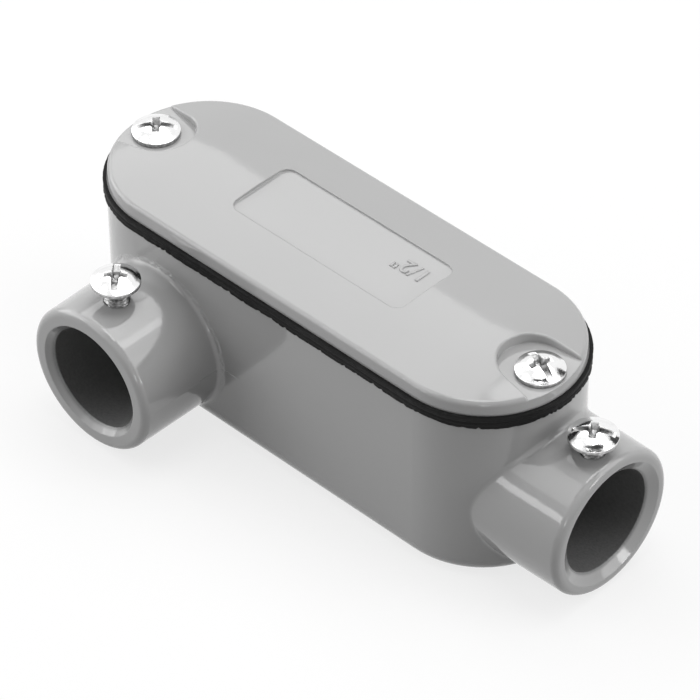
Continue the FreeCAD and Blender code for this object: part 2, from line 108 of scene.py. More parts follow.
class Tree:
    """The nodes of one material or of the world."""

    def __init__(self, owner):
        owner.use_nodes = True
        self.nodes = owner.node_tree.nodes
        self.links = owner.node_tree.links
        self.nodes.clear()

    def add(self, kind, settings=None, sockets=None):
        """Adds a node. Its settings come first, then the values or links of its sockets by name or number."""
        node = self.nodes.new(kind)
        for name, value in (settings or {}).items():
            setattr(node, name, value)
        for name, value in (sockets or {}).items():
            if isinstance(value, Signal):
                self.links.new(value.socket, node.inputs[name])
            else:
                node.inputs[name].default_value = value
        return node

    def signal(self, node, output=0):
        return Signal(self, node.outputs[output])

    def math(self, operation, *values):
        return self.signal(self.add("ShaderNodeMath", {"operation": operation}, dict(enumerate(values))))

    def vector(self, operation, *values):
        """A Vector Math node whose answer is a vector."""
        sockets = dict(enumerate(values))
        if operation == "SCALE":
            sockets = {"Vector": values[0], "Scale": values[1]}
        return self.signal(self.add("ShaderNodeVectorMath", {"operation": operation}, sockets))

    def millimetres(self):
        """The place on the piece, in millimetres of the part's own frame."""
        return self.vector("SCALE", self.signal(self.add("ShaderNodeTexCoord"), "Object"), 1 / MM)

    def attribute(self, name):
        """A number kept on the mesh's points."""
        return self.signal(self.add("ShaderNodeAttribute", {"attribute_name": name}), "Fac")

    def axes(self, vector):
        split = self.add("ShaderNodeSeparateXYZ", sockets={"Vector": vector})
        return [self.signal(split, axis) for axis in "XYZ"]

    def noise(self, place, size, detail=2.0, roughness=0.5, stretch=None):
        """A cloudy pattern from 0 to 1 whose patches are about so many millimetres wide."""
        if stretch is not None:
            place = self.vector("MULTIPLY", place, stretch)
        node = self.add(
            "ShaderNodeTexNoise",
            {"normalize": True},
            {"Vector": place, "Scale": 1 / size, "Detail": detail, "Roughness": roughness},
        )
        return self.signal(node)

    def specks(self, place, spacing, share, radius):
        """Round specks, 1 at their middle and 0 at their edge, in only a share of the cells."""
        cells = self.add("ShaderNodeTexVoronoi", {"feature": "F1"}, {"Vector": place, "Scale": 1 / spacing})
        chosen = self.axes(self.signal(cells, "Color"))[0] < share
        closeness = 1 - self.signal(cells, "Distance") * (spacing / radius)
        return self.math("MAXIMUM", closeness, 0.0) * chosen

    def smooth(self, value, low, high, low_to=0.0, high_to=1.0):
        """Maps a range of a value to another range, with soft ends."""
        node = self.add(
            "ShaderNodeMapRange",
            {"interpolation_type": "SMOOTHSTEP"},
            {"Value": value, "From Min": low, "From Max": high, "To Min": low_to, "To Max": high_to},
        )
        return self.signal(node)

    def mix_colour(self, factor, first, second):
        node = self.add("ShaderNodeMix", {"data_type": "RGBA"}, {"Factor": factor, 6: first, 7: second})
        return self.signal(node, 2)

    def line(self, distance, width):
        """1 on a line and 0 from half its width outwards, for a distance with either sign."""
        away = self.math("ABSOLUTE", distance) * (2 / width)
        return self.smooth(away, 0.0, 1.0, 1.0, 0.0)

    def softened(self, radius):
        """The normal of the surface with its edges rounded by so many millimetres."""
        return self.signal(self.add("ShaderNodeBevel", {"samples": 6}, {"Radius": radius * MM}))

    def bump(self, height, normal=None):
        """Turns a height in millimetres into a shading normal."""
        sockets = {"Strength": 1.0, "Distance": MM, "Height": height}
        if normal is not None:
            sockets["Normal"] = normal
        return self.signal(self.add("ShaderNodeBump", sockets=sockets))

    def surface(self, sockets):
        shader = self.add("ShaderNodeBsdfPrincipled", sockets=sockets)
        output = self.add("ShaderNodeOutputMaterial")
        self.links.new(shader.outputs[0], output.inputs["Surface"])


def grey(level):
    return (level, level, level)


def opaque(colour):
    return (*colour, 1.0)


def new_material(name):
    material = bpy.data.materials.get(name) or bpy.data.materials.new(name)
    return material, Tree(material)


# Finishes

# Where the details in the enamel lie, in millimetres of the part's own frame
SOCKET_BLEND = 0.6
END_SOCKET_X = 37
SIDE_SOCKET_Y = -13
BEAD_Y = -8
BEAD_LOWEST_Z = 9
SEAM_FRONT_Y = -21
SEAM_BACK_Y = -15
SEAM_LEFT_X = -14
SEAM_FROM_BORE = 2
# Distances from the side hub's axis between which the seam fades out
SEAM_FADE = (14, 19)
# How matt the screws' rims are, and how much painted shade darkens them, from 0 to 1
RIM_DULL_AND_SHADED = 0.35


def make_enamel(settings):
    """Glossy grey spray enamel over a die casting, matt inside the sockets, where painted shade darkens it.
    """
    material, tree = new_material(ENAMEL)
    place = tree.millimetres()
    x, y, z = tree.axes(place)
    bore = settings.bore_radius / MM
    height = z - settings.hub_height / MM
    end_axis = (y * y + height * height) ** 0.5
    side_x = x + settings.side_hub_distance / MM
    side_axis = (side_x * side_x + height * height) ** 0.5
    in_end = tree.smooth(end_axis, bore, bore + SOCKET_BLEND, 1.0, 0.0) * (x > END_SOCKET_X)
    in_side = tree.smooth(side_axis, bore, bore + SOCKET_BLEND, 1.0, 0.0) * (y < SIDE_SOCKET_Y)
    inside = tree.math("MAXIMUM", in_end, in_side)

    grain = tree.noise(place, size=0.45)
    mottle = (tree.noise(place, size=14) - 0.5) * 0.05
    # Painted shade: the enamel is drawn darker inside the sockets, where little light gets in
    painted_socket_shade = inside * 0.6
    speckle = (grain - 0.5) * inside * 0.2
    colour = tree.vector("SCALE", tuple(settings.enamel_colour), 1 + mottle - painted_socket_shade + speckle)

    # Heights in millimetres
    waves = tree.noise(place, size=11, detail=1) * 0.03
    peel = tree.noise(place, size=1.7) * settings.peel_height / MM
    pimples = tree.specks(place, spacing=7, share=0.35, radius=0.28) * 0.05
    grit = grain * inside * 0.04

    off_wall = tree.math("MAXIMUM", 0 - (y + settings.wall_distance / MM), 0.0)
    root = side_axis - settings.bead_radius / MM
    bead_distance = (root * root + off_wall * off_wall) ** 0.5
    lumps = tree.smooth(tree.noise(place, size=1.3, detail=3, roughness=0.6), 0.35, 0.6)
    front = y < BEAD_Y
    bead = tree.line(bead_distance, width=1.1) * lumps * (z > BEAD_LOWEST_Z) * front * 0.14
    crumb_belt = tree.line(bead_distance, width=1.8)
    crumbs = tree.specks(place, spacing=0.8, share=0.3, radius=0.3) * crumb_belt * front * 0.12

    near_hub = tree.smooth(side_axis, *SEAM_FADE, 1.0, 0.0) * (side_axis > bore + SEAM_FROM_BORE)
    beside_hub = near_hub * (y < SEAM_BACK_Y) * (y > SEAM_FRONT_Y) * (x > SEAM_LEFT_X)
    seam = tree.line(z - settings.seam_height / MM, width=0.4) * beside_hub * 0.07
    relief = waves + peel + pimples + grit + bead + crumbs + seam
    tree.surface(
        {
            "Base Color": colour,
            "Roughness": settings.enamel_roughness + inside * 0.25,
            "IOR": 1.6,
            "Normal": tree.bump(relief, tree.softened(0.3)),
        }
    )
    return material


def make_rubber(settings):
    """Matt black sheet rubber with a dusty, slightly torn cut edge and lighter streaks along it."""
    material, tree = new_material(RUBBER)
    place = tree.millimetres()
    dust = tree.smooth(tree.noise(place, size=0.5, detail=4, roughness=0.65), 0.55, 0.75)
    along_edge = tree.noise(place, size=1.1, detail=3, roughness=0.6, stretch=(0.18, 0.18, 2.6))
    streaks = tree.smooth(along_edge, 0.52, 0.72)
    # The rubber is drawn lighter in dusty patches and in streaks that run along the cut edge
    dust_and_streaks = tree.math("MAXIMUM", dust * 0.5, streaks * 0.6)
    colour = tree.mix_colour(dust_and_streaks, opaque(settings.rubber_colour), opaque(settings.rubber_dust_colour))
    relief = tree.noise(place, size=0.3, detail=3) * 0.06 + streaks * 0.05
    tree.surface(
        {
            "Base Color": colour,
            "Roughness": 0.55 + dust_and_streaks * 0.3,
            "IOR": 1.5,
            "Specular IOR Level": 0.14,
            "Normal": tree.bump(relief),
        }
    )
    return material


def make_zinc(settings):
    """Bright zinc plate on pressed steel, matt in the slot, in the cross, on the rim and on the shank, which
    painted shade darkens in patches.
    """
    material, tree = new_material(ZINC)
    place = tree.millimetres()
    bloom = tree.noise(place, size=1.2, detail=3)
    grain = tree.noise(place, size=0.18)
    dull = tree.smooth(tree.attribute("dull"), 0.0, RIM_DULL_AND_SHADED)
    deep = tree.smooth(tree.attribute("dull"), 0.5, 1.0)
    patches = tree.smooth(tree.noise(place, size=0.5, detail=3), 0.3, 0.65, 0.4, 0.68)
    # Painted shade: the slot, the cross, the rim and the shank are drawn darker in patches, the deeper half
    # of the slot and the cross and the shank darker still
    painted_screw_shade = dull * patches + deep * 0.16
    colour = tree.vector("SCALE", tuple(settings.zinc_colour), 1 + (bloom - 0.5) * 0.1 - painted_screw_shade)
    dents = tree.noise(place, size=1.6, detail=1) * 0.02 + tree.noise(place, size=0.4, detail=3) * 0.013
    relief = dents + grain * 0.004 + dull * grain * 0.02
    tree.surface(
        {
            "Base Color": colour,
            "Metallic": 1.0,
            "Roughness": tree.smooth(bloom, 0.3, 0.7, 0.08, 0.16) + dull * 0.25,
            "Normal": tree.bump(relief),
        }
    )
    return material


# Mesh helpers


def new_object(name, data):
    item = bpy.data.objects.new(name, data)
    bpy.context.scene.collection.objects.link(item)
    return item


def add_piece(name, mesh, body, material, replaced=()):
    """Links a finished mesh as one piece of the part, riding on a body."""
    mesh.materials.clear()
    mesh.materials.append(material)
    piece = new_object(name, mesh)
    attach(piece, body)
    if replaced:
        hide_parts(*replaced)


def shade_smooth(mesh, degrees):
    """Shades a mesh smooth except over edges sharper than an angle."""
    mesh.shade_smooth()
    mesh.set_sharp_from_angle(angle=math.radians(degrees))


def ring_of(mesh, radius, height, segments):
    """A level ring of points round the Z axis."""
    turn = 2 * math.pi / segments
    places = [(radius * math.cos(i * turn), radius * math.sin(i * turn), height) for i in range(segments)]
    return [mesh.verts.new(place) for place in places]


def bridge(mesh, lower, upper):
    """Joins two closed rings of as many vertices with faces."""
    for i, (a, b) in enumerate(zip(lower, upper)):
        following = (i + 1) % len(lower)
        mesh.faces.new((a, lower[following], upper[following], b))


def close_with_point(mesh, ring, height, upwards):
    """Closes a ring with a fan of faces to a point on the Z axis."""
    tip = mesh.verts.new((0, 0, height))
    for i, vertex in enumerate(ring):
        following = ring[(i + 1) % len(ring)]
        mesh.faces.new((vertex, following, tip) if upwards else (following, vertex, tip))


def clamped(value):
    return min(1, max(0, value))


def finished_mesh(name, mesh):
    """Turns a bmesh into a mesh with outward faces."""
    bmesh.ops.recalc_face_normals(mesh, faces=mesh.faces)
    data = bpy.data.meshes.new(name)
    mesh.to_mesh(data)
    mesh.free()
    return data


def applied(item, name):
    """The mesh of an object with its modifiers applied. The object itself goes."""
    graph = bpy.context.evaluated_depsgraph_get()
    data = bpy.data.meshes.new_from_object(item.evaluated_get(graph))
    data.name = name
    bpy.data.objects.remove(item)
    return data


# Screws

# Edges round the slot and the cross that are sharper than this get the small bevel
BROKEN_EDGE_DEGREES = 28


def crown_sphere(settings):
    """Radius of the sphere of the crown, and the height of its middle above the underside of the head."""
    rise = settings.head_rise
    radius = (settings.head_radius**2 + rise**2) / (2 * rise)
    return radius, settings.head_side_height + rise - radius


def head_profile(settings):
    """Half outline of a screw head, from under the head up to the middle of the crown."""
    corner_steps, shoulder_steps, crown_steps = 3, 4, 14
    radius = settings.head_radius
    rounding = settings.head_edge_round
    shoulder = settings.head_side_height * 0.75
    sphere, centre = crown_sphere(settings)
    profile = [(settings.thread_radius * 0.6, 0), (radius - rounding, 0)]
    for step in range(1, corner_steps + 1):
        angle = step / corner_steps * math.pi / 2
        profile.append((radius - rounding * (1 - math.sin(angle)), rounding * (1 - math.cos(angle))))
    rim = math.asin((radius - rounding) / sphere)
    crown_edge = centre + sphere * math.cos(rim)
    for step in range(1, shoulder_steps + 1):
        share = step / shoulder_steps
        angle = share * (math.pi / 2 - rim)
        reach = radius - rounding + rounding * math.cos(angle)
        lift = (crown_edge - shoulder) * math.sin(share * math.pi / 2)
        profile.append((reach, shoulder + lift))
    for step in range(1, crown_steps):
        angle = rim * (1 - step / crown_steps)
        profile.append((sphere * math.sin(angle), centre + sphere * math.cos(angle)))
    return profile, settings.head_side_height + settings.head_rise


def blank_head(settings):
    """Turns the head's half outline into a solid."""
    mesh = bmesh.new()
    profile, top = head_profile(settings)
    rings = [ring_of(mesh, radius, height, settings.head_segments) for radius, height in profile]
    for lower, upper in zip(rings, rings[1:]):
        bridge(mesh, lower, upper)
    close_with_point(mesh, rings[0], 0, False)
    close_with_point(mesh, rings[-1], top, True)
    return finished_mesh("screw_head", mesh), top


def cross_outline(arm, half_width, root):
    """Outline of a cross with equal arms whose inner corners are cut off a little."""
    quarter = ((arm, -half_width), (arm, half_width), (root, half_width), (half_width, root))
    points = []
    for _ in range(4):
        points.extend(quarter)
        quarter = tuple((-y, x) for x, y in quarter)
    return points


def loft(name, outlines):
    """A closed solid through outlines of as many points, each at its own height."""
    mesh = bmesh.new()
    rings = [[mesh.verts.new((x, y, height)) for x, y in points] for height, points in outlines]
    for lower, upper in zip(rings, rings[1:]):
        bridge(mesh, lower, upper)
    mesh.faces.new(rings[0])
    mesh.faces.new(rings[-1])
    return finished_mesh(name, mesh)


def slot_cutter(settings, top):
    """A bar across the head, a little narrower at the floor of the slot."""
    half_width = settings.slot_width / 2
    reach = settings.head_radius + MM
    bottom = top - settings.slot_depth
    narrow = half_width * 0.86
    wide = half_width + (half_width - narrow) * MM / settings.slot_depth
    outlines = [
        (height, [(reach, side), (-reach, side), (-reach, -side), (reach, -side)])
        for height, side in ((bottom, narrow), (top, half_width), (top + MM, wide))
    ]
    return loft("slot_cutter", outlines)


def cross_cutter(settings, top):
    """A cross that tapers to a small tip. Its levels are shares of its depth, counted downwards."""
    levels = (1.0, 0.82, 0.0, -0.4)
    arm_taper, width_taper, inner_corner, tip = 0.56, 0.42, 1.5, 0.35
    outlines = []
    for level in levels:
        reach = settings.cross_span / 2 * (1 - arm_taper * level)
        side = settings.cross_width / 2 * (1 - width_taper * level)
        height = top - level * settings.cross_depth
        outlines.append((height, cross_outline(reach, side, side * inner_corner)))
    lowest, points = outlines[0]
    outlines[0] = (lowest, [(x * tip, y * tip) for x, y in points])
    return loft("cross_cutter", outlines)


def cut_head(settings):
    """Cuts the slot and the cross into the head, then breaks the sharp edges."""
    blank, top = blank_head(settings)
    head = new_object("screw_head", blank)
    cutters = [
        new_object("slot_cutter", slot_cutter(settings, top)),
        new_object("cross_cutter", cross_cutter(settings, top)),
    ]
    for cutter in cutters:
        cut = head.modifiers.new(cutter.name, "BOOLEAN")
        cut.operation = "DIFFERENCE"
        cut.solver = "EXACT"
        cut.object = cutter
    edge = head.modifiers.new("broken_edges", "BEVEL")
    edge.width = settings.broken_edge
    edge.segments = 2
    edge.limit_method = "ANGLE"
    edge.angle_limit = math.radians(BROKEN_EDGE_DEGREES)
    data = applied(head, "screw_head")
    for cutter in cutters:
        bpy.data.objects.remove(cutter)
    return data


def mark_dull_and_shaded_places(mesh, settings):
    """Keeps on each point how matt it is and how much painted shade darkens it, from 0 to 1: the slot and the
    cross, the rim and the shank.
    """
    sphere, centre = crown_sphere(settings)
    middle = Vector((0, 0, centre))
    layer = mesh.verts.layers.float.new("dull")
    for vertex in mesh.verts:
        depth = sphere - (vertex.co - middle).length - 2 * settings.broken_edge
        out = math.hypot(vertex.co.x, vertex.co.y)
        if vertex.co.z <= 0:
            vertex[layer] = 1
        elif out < settings.head_radius - settings.head_edge_round:
            vertex[layer] = clamped(depth / settings.slot_depth * 2)
        elif vertex.co.z < settings.head_side_height:
            vertex[layer] = RIM_DULL_AND_SHADED


def thread_height(turn_share):
    """Share of the thread's depth over one pitch: a ridge with a narrow flat crest and root."""
    flat_root, flank = 0.1, 0.76
    ridge = 1 - abs(2 * (turn_share % 1) - 1)
    return clamped((ridge - flat_root) / flank)


def threaded_shank(settings, length):
    """The threaded shank below the head, with a chamfered tip."""
    mesh = bmesh.new()
    segments = settings.thread_segments
    rows = int(length / settings.thread_pitch * settings.rows_per_pitch)
    root = settings.thread_radius - settings.thread_depth
    tip = settings.thread_radius - settings.tip_chamfer
    rings = []
    for row in range(rows + 1):
        depth = length * row / rows
        limit = min(settings.thread_radius, tip + (length - depth))
        fade = clamped((depth - settings.plain_neck) / settings.thread_pitch + 0.5)
        ring = []
        for i in range(segments):
            angle = 2 * math.pi * i / segments
            share = depth / settings.thread_pitch + i / segments
            radius = min(root + settings.thread_depth * thread_height(share) * fade, limit)
            ring.append(mesh.verts.new((radius * math.cos(angle), radius * math.sin(angle), -depth)))
        rings.append(ring)
    for upper, lower in zip(rings, rings[1:]):
        bridge(mesh, upper, lower)
    close_with_point(mesh, rings[-1], -length, False)
    return finished_mesh("screw_shank", mesh)


def make_screw(settings, node, length, slot_angle, material):
    """Builds one threaded screw in the place of its plain node."""
    mesh = bmesh.new()
    for data in (cut_head(settings), threaded_shank(settings, length)):
        mesh.from_mesh(data)
        bpy.data.meshes.remove(data)
    mark_dull_and_shaded_places(mesh, settings)
    low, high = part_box(node)
    seat = Vector(((low.x + high.x) / 2, (low.y + high.y) / 2, low.z + length))
    mesh.transform(Matrix.Translation(seat) @ Matrix.Rotation(slot_angle, 4, "Z"))
    name = f"{node}_steel"
    data = bpy.data.meshes.new(name)
    mesh.to_mesh(data)
    mesh.free()
    shade_smooth(data, degrees=32)
    add_piece(name, data, node, material, (node,))


def make_screws(settings, kind, places, length):
    """Builds all screws of one kind. Each rides on the body that its plain node makes."""
    material = make_zinc(settings)
    for place in places:
        slot_angle = getattr(settings, f"{place}_slot_angle")
        make_screw(settings, f"{kind}_{place}", length, slot_angle, material)


# Gasket

WINDOW_CORNER_STEPS = 8
HOLE_STEPS = 32
# Grooves along the cut edge: offset from the main one and width as shares of the thickness, then depth in
# millimetres
GROOVES = ((0.0, 0.07, 0.16), (-0.27, 0.05, 0.07))
# How far up the tears of the lower corner reach, as a share of the thickness, and where both corners begin,
# as a share of the way from the middle
TORN_SHARE = 0.4
CORNER_START = 0.86
# Depth of the shallowest and the deepest nick, in millimetres
NICK_DEPTHS = (0.05, 0.2)


def stadium_points(half_span, radius, step):
    """Points and outward directions round a slot-shaped outline, anticlockwise from the right end."""
    straight = 2 * half_span
    arc = math.pi * radius
    total = 2 * (straight + arc)
    count = round(total / step)
    points = []
    for i in range(count):
        along = total * i / count
        side, rest = divmod(along, straight + arc)
        way = 1 if side == 0 else -1
        if rest < arc:
            angle = rest / radius - math.pi / 2
            direction = Vector((math.cos(angle), math.sin(angle), 0))
            point = Vector((half_span, 0, 0)) + radius * direction
        else:
            direction = Vector((0, 1, 0))
            point = Vector((half_span - (rest - arc), radius, 0))
        points.append((way * point, way * direction, along))
    return points


def rounded_rectangle_points(half_length, half_width, corner):
    """Points round the window, anticlockwise from its right end."""
    points = []
    centres = ((1, 1), (-1, 1), (-1, -1), (1, -1))
    for turn, (way_x, way_y) in enumerate(centres):
        for i in range(WINDOW_CORNER_STEPS + 1):
            angle = (turn + i / WINDOW_CORNER_STEPS) * math.pi / 2
            x = way_x * (half_length - corner) + corner * math.cos(angle)
            y = way_y * (half_width - corner) + corner * math.sin(angle)
            points.append(Vector((x, y, 0)))
    return points


def circle_points(x, radius):
    """Points round a hole whose middle lies on the X axis."""
    turns = [2 * math.pi / HOLE_STEPS * i for i in range(HOLE_STEPS)]
    return [Vector((x + radius * math.cos(turn), radius * math.sin(turn), 0)) for turn in turns]


def edge_line(along, length):
    """A place on a circle as long as the outline, in millimetres. Noise read along it closes on itself."""
    angle = 2 * math.pi * along / length
    reach = length / (2 * math.pi) / MM
    return Vector((math.cos(angle), math.sin(angle), 0)) * reach


def torn_part(share):
    """1 at the lower corner of the edge and 0 where its tears end."""
    return max(0, 1 - share / TORN_SHARE)


def edge_depth(line, share, nick):
    """How far the cut edge lies inside its outline, in millimetres, at a share of the thickness."""
    tear = noise.noise(line * 0.9 + Vector((0, 0, share * 1.5)))
    grain = noise.noise(line * 2.7 + Vector((0, 0, share * 7)))
    depth = 0.06 + 0.05 * tear + 0.03 * grain
    groove_at = 0.55 + 0.05 * noise.noise(line * 0.2)
    for offset, width, groove_depth in GROOVES:
        depth += groove_depth * math.exp(-(((share - groove_at - offset) / width) ** 2))
    corner = max(0, abs(share - 0.5) * 2 - CORNER_START) / (1 - CORNER_START)
    return max(0, depth + 0.12 * corner**2 + nick * torn_part(share))


def edge_lift(line, nick):
    """How far the torn lower corner lies above the sheet's lower face, in millimetres."""
    swell = max(0, noise.noise(line * 0.16) + 0.1) * 0.35
    tear = max(0, noise.noise(line * 0.8)) * 0.22
    return swell + tear + 0.6 * nick


def nick_depths(settings, count):
    """How deep the lower corner is nicked at each point of the outline, in millimetres."""
    chooser = random.Random(settings.seed)
    depths = [0.0] * count
    for _ in range(settings.nicks):
        at = chooser.randrange(count)
        depth = chooser.uniform(*NICK_DEPTHS)
        for offset in range(-1, 2):
            depths[(at + offset) % count] += depth * (1 - abs(offset) / 2)
    return depths


def make_gasket_mesh(settings):
    """Builds the die-cut gasket with its window, its screw holes and its rough outer edge."""
    low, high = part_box("gasket")
    centre = (low + high) / 2
    outer_radius = (high.y - low.y) / 2
    half_span = (high.x - low.x) / 2 - outer_radius
    outline = stadium_points(half_span, outer_radius, settings.edge_step)
    length = len(outline) * settings.edge_step
    nicks = nick_depths(settings, len(outline))
    lines = [edge_line(along, length) for _, _, along in outline]
    lifts = [edge_lift(line, nick) for line, nick in zip(lines, nicks)]

    mesh = bmesh.new()
    edge = []
    for row in range(settings.edge_rows + 1):
        share = row / settings.edge_rows
        ring = []
        for (point, direction, _), line, nick, lift in zip(outline, lines, nicks, lifts):
            depth = edge_depth(line, share, nick) * settings.edge_roughness * MM
            place = centre + point - direction * depth
            torn = lift * settings.edge_roughness * MM * torn_part(share)
            ring.append(mesh.verts.new((place.x, place.y, low.z + share * (high.z - low.z) + torn)))
        edge.append(ring)
    for lower, upper in zip(edge, edge[1:]):
        bridge(mesh, lower, upper)
    seat = []
    for point, direction, _ in outline:
        place = centre + point - direction * settings.torn_width
        seat.append(mesh.verts.new((place.x, place.y, low.z)))
    bridge(mesh, seat, edge[0])

    window = (settings.window_half_length, settings.window_half_width, settings.window_corner)
    screw_x = node_centre("cover_screw_right").x
    openings = [rounded_rectangle_points(*window)]
    openings += [circle_points(x, settings.hole_radius) for x in (screw_x, -screw_x)]
    walls = []
    for points in openings:
        walls.append([[mesh.verts.new((p.x, p.y, height)) for p in points] for height in (low.z, high.z)])
        bridge(mesh, *walls[-1])
    for level, outer in ((0, seat), (1, edge[-1])):
        loops = [outer] + [wall[level] for wall in walls]
        vertices = [vertex for loop in loops for vertex in loop]
        for corners in tessellate_polygon([[vertex.co for vertex in loop] for loop in loops]):
            mesh.faces.new([vertices[i] for i in corners])
    data = finished_mesh("gasket_rubber", mesh)
    shade_smooth(data, degrees=40)
    return data


# Raised figures

# Middle of the figures on the cover
FIGURES_X = 12.8 * MM
FIGURES_Y = 2.6 * MM
# Share of the slope's width that is taken off the strokes, so that the sloped figures don't look bold
STROKE_THINNING = 0.4


def raised_figures(name, text, settings):
    """Raised figures as one mesh: flat tops, sloped sides, reading along -X."""
    curve = bpy.data.curves.new(name, "FONT")
    curve.body = text
    curve.size = settings.figure_height
    curve.extrude = settings.figure_relief
    curve.bevel_depth = settings.figure_slope
    curve.bevel_resolution = 2
    curve.offset = -settings.figure_slope * STROKE_THINNING
    curve.align_x = "CENTER"
    curve.align_y = "CENTER"
    data = applied(new_object(name, curve), name)
    bpy.data.curves.remove(curve)
    return data


# Settings


def length_setting(name, description, default):
    return bpy.props.FloatProperty(
        name=name, description=description, default=default, precision=6, subtype="DISTANCE", unit="LENGTH"
    )


def angle_setting(name, description, degrees):
    return bpy.props.FloatProperty(
        name=name, description=description, default=math.radians(degrees), subtype="ANGLE", unit="ROTATION"
    )


def grey_setting(name, description, level):
    """A colour that starts as a neutral grey."""
    return bpy.props.FloatVectorProperty(
        name=name, description=description, default=grey(level), min=0, max=1, subtype="COLOR"
    )


class EnamelSettings(bpy.types.PropertyGroup):
    """Colour and finish of the painted castings."""

    enamel_colour: grey_setting("Enamel Colour", "Colour of the grey enamel", 0.46)
    enamel_roughness: bpy.props.FloatProperty(
        name="Enamel Roughness",
        description="Roughness of the enamel outside the sockets",
        default=0.08,
        min=0,
        max=1,
        subtype="FACTOR",
    )
    peel_height: length_setting(
        "Orange Peel Height", "Height of the fine waves in the sprayed enamel", 0.012 * MM
    )
    bore_radius: length_setting("Bore Radius", "Radius inside which a hub's enamel is dull", 9.2 * MM)
    hub_height: length_setting("Hub Height", "Height of both hub axes above the back", 13.6 * MM)
    wall_distance: length_setting(
        "Wall Distance", "Distance of the long walls from the middle of the box", 16.45 * MM
    )
    bead_radius: length_setting(
        "Bead Radius", "Radius of the uneven bead where the side hub meets the wall", 13.95 * MM
    )
    seam_height: length_setting(
        "Seam Height", "Height of the low seam left beside the side hub by the casting die", 14 * MM
    )
    side_hub_distance: length_setting(
        "Side Hub Distance",
        "Distance of the side hub's axis from the middle of the box",
        -node_centre("set_screw_side").x,
    )


class RubberSettings(bpy.types.PropertyGroup):
    """Colour and cut of the gasket."""

    rubber_colour: grey_setting("Rubber Colour", "Colour of the clean rubber", 0.005)
    rubber_dust_colour: grey_setting("Dust Colour", "Colour of the dust on the cut edge", 0.035)
    edge_step: length_setting("Edge Step", "Length of one face along the cut edge", 0.2 * MM)
    edge_rows: bpy.props.IntProperty(
        name="Edge Rows", description="Rows of faces up the cut edge", default=16, min=4
    )
    edge_roughness: bpy.props.FloatProperty(
        name="Edge Roughness", description="Scale of the tears in the cut edge", default=1.0, min=0
    )
    nicks: bpy.props.IntProperty(
        name="Nicks", description="Number of nicks in the lower corner of the cut edge", default=110, min=0
    )
    torn_width: length_setting("Torn Width", "Width of the overhang whose lower face is torn", 0.7 * MM)
    seed: bpy.props.IntProperty(name="Seed", description="Chooses where the nicks are", default=7)
    window_half_length: length_setting(
        "Window Half Length", "Half the length of the gasket's opening", 37.85 * MM
    )
    window_half_width: length_setting(
        "Window Half Width", "Half the width of the gasket's opening", 13.05 * MM
    )
    window_corner: length_setting("Window Corner", "Corner radius of the gasket's opening", 2 * MM)
    hole_radius: length_setting("Hole Radius", "Radius of the gasket's screw holes", 2.43 * MM)


class ScrewSettings(bpy.types.PropertyGroup):
    """Sizes of the number 8 screws and the colour of their plating."""

    zinc_colour: grey_setting("Zinc Colour", "Colour of the zinc plate", 0.9)
    head_radius: length_setting("Head Radius", "Radius of the head", 4.1 * MM)
    head_side_height: length_setting("Head Side Height", "Height of the head's upright side", 0.6 * MM)
    head_rise: length_setting("Head Rise", "Rise of the crown above the side", 1.45 * MM)
    head_edge_round: length_setting(
        "Head Edge Round", "Rounding between the head's side, crown and underside", 0.22 * MM
    )
    head_segments: bpy.props.IntProperty(
        name="Head Segments", description="Faces round the head", default=96, min=24
    )
    slot_width: length_setting("Slot Width", "Width of the slot at the top", 1.2 * MM)
    slot_depth: length_setting("Slot Depth", "Depth of the slot under the top of the crown", 1.0 * MM)
    cross_span: length_setting("Cross Span", "Width over the cross at the top", 4.3 * MM)
    cross_width: length_setting("Cross Width", "Width of one arm of the cross at the top", 1.3 * MM)
    cross_depth: length_setting("Cross Depth", "Depth of the cross under the top of the crown", 1.75 * MM)
    broken_edge: length_setting(
        "Broken Edge", "Width of the small bevel round the slot and the cross", 0.05 * MM
    )
    thread_radius: length_setting("Thread Radius", "Radius over the thread", 2.08 * MM)
    thread_depth: length_setting("Thread Depth", "Depth of the thread", 0.42 * MM)
    thread_pitch: length_setting("Thread Pitch", "Distance from one thread to the next", 0.794 * MM)
    thread_segments: bpy.props.IntProperty(
        name="Thread Segments", description="Faces round the thread", default=48, min=12
    )
    rows_per_pitch: bpy.props.IntProperty(
        name="Rows per Pitch", description="Rows of faces along one pitch of the thread", default=10, min=4
    )
    plain_neck: length_setting("Plain Neck", "Length under the head where the thread runs out", 0.35 * MM)
    tip_chamfer: length_setting("Tip Chamfer", "Chamfer at the tip", 0.5 * MM)
    cover_screw_length: length_setting(
        "Cover Screw Length", "Length of the cover screws under the head", 9.5 * MM
    )
    set_screw_length: length_setting("Set Screw Length", "Length of the set screws under the head", 6.35 * MM)
    left_slot_angle: angle_setting("Left Slot Angle", "Direction of the left cover screw's slot", 44)
    right_slot_angle: angle_setting("Right Slot Angle", "Direction of the right cover screw's slot", 160)
    side_slot_angle: angle_setting(
        "Side Slot Angle", "Direction of the slot of the side hub's set screw", 130.9
    )
    end_slot_angle: angle_setting("End Slot Angle", "Direction of the slot of the end hub's set screw", 33.1)


class FigureSettings(bpy.types.PropertyGroup):
    """The plain trade size raised in the cover's panel."""

    figure_height: length_setting("Figure Height", "Height of the raised figures", 4.2 * MM)
    figure_relief: length_setting(
        "Figure Relief", "How far the figures stand above the panel's floor, less their slope", 0.1 * MM
    )
    figure_slope: length_setting("Figure Slope", "Width of the sloped side of a figure", 0.12 * MM)
    panel_floor: length_setting("Panel Floor", "Height of the panel's floor above the back", 37.65 * MM)


